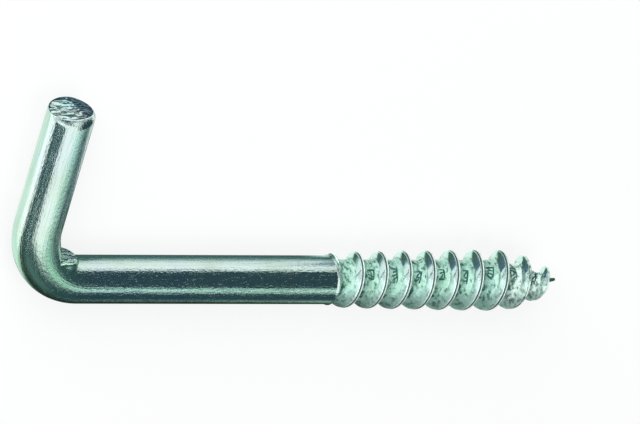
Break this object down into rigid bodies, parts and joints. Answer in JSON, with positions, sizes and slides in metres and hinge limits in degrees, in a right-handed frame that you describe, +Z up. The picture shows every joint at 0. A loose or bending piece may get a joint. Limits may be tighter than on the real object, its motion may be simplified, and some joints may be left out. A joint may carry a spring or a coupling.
{
  "type": "screw hook",
  "caption": "Square-bend screw hook: one round steel wire with a short upright arm, a plain shank and a coarse pointed wood thread.",
  "frame": {"origin": "centre of the bounding box's underside, on the surface that the hook lies on", "axes": "+X along the shank towards the needle point, +Y along the arm towards its cut end, +Z up, square to the plane of the bend"},
  "size_m": [0.079, 0.028, 0.0077],
  "materials": {
    "zinc_plate": "bright zinc plate with a faint blue-green tint over drawn wire and a rolled thread"
  },
  "bodies": {
    "root": {"screw_hook": "zinc_plate"}
  },
  "joints": []
}
